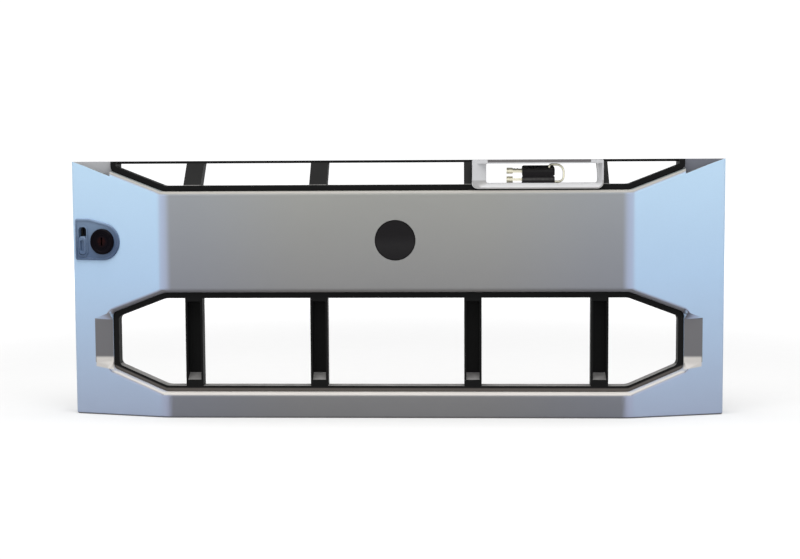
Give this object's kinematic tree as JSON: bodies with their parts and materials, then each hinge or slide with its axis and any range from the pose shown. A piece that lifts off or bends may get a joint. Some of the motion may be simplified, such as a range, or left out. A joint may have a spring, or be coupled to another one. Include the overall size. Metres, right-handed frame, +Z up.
{
  "type": "server front bezel",
  "caption": "Silver server front bezel with black-framed window openings, a round blank badge, a side lock with release latch, and two keys in the display frame.",
  "frame": {"origin": "centre of the bounding box at its bottom", "axes": "+X to the right seen from the front, the front faces -Y, +Z up"},
  "size_m": [0.446, 0.04, 0.1745],
  "materials": {
    "silver_paint": "satin",
    "black_plastic": "satin",
    "gloss_black": "gloss",
    "light_plastic": "satin",
    "pod_plastic": "satin",
    "lock_black": "gloss",
    "zinc_steel": "satin",
    "spring_steel": "satin",
    "key_plastic": "satin",
    "key_metal": "satin"
  },
  "bodies": {
    "base": {"fascia": "silver_paint", "inner_frame": "black_plastic", "frame_screws": "zinc_steel", "badge": "gloss_black", "badge_clips": "spring_steel", "display_frame": "light_plastic", "display_frame_screws": "zinc_steel", "key_head_lower": "key_plastic", "key_blade_lower": "key_metal", "key_head_upper": "key_plastic", "key_blade_upper": "key_metal", "key_ring": "spring_steel", "lock_pod": "pod_plastic", "lock_barrel": "lock_black", "lock_nut": "zinc_steel", "latch_spring": "spring_steel", "latch_guide": "black_plastic", "latch_guide_screws": "zinc_steel", "right_hook_plate": "zinc_steel", "right_hook_screws": "zinc_steel"},
    "lock": {"lock_plug": "lock_black", "lock_cam": "zinc_steel", "cam_screw": "zinc_steel"},
    "latch": {"release_latch": "pod_plastic", "latch_slide": "zinc_steel"}
  },
  "joints": [
    {"name": "lock_turn", "type": "hinge", "parent": "base", "child": "lock", "pos_m": [-0.20083, -0.00817, 0.1199], "axis": [-0.2607, -0.9654, 0], "range_deg": [0, 90]},
    {"name": "latch_lift", "type": "slide", "parent": "base", "child": "latch", "axis": [0, 0, 1], "range_m": [0, 0.006], "stiffness_N_per_m": 200, "springref_m": -0.002, "deforming": ["latch_spring"]}
  ]
}
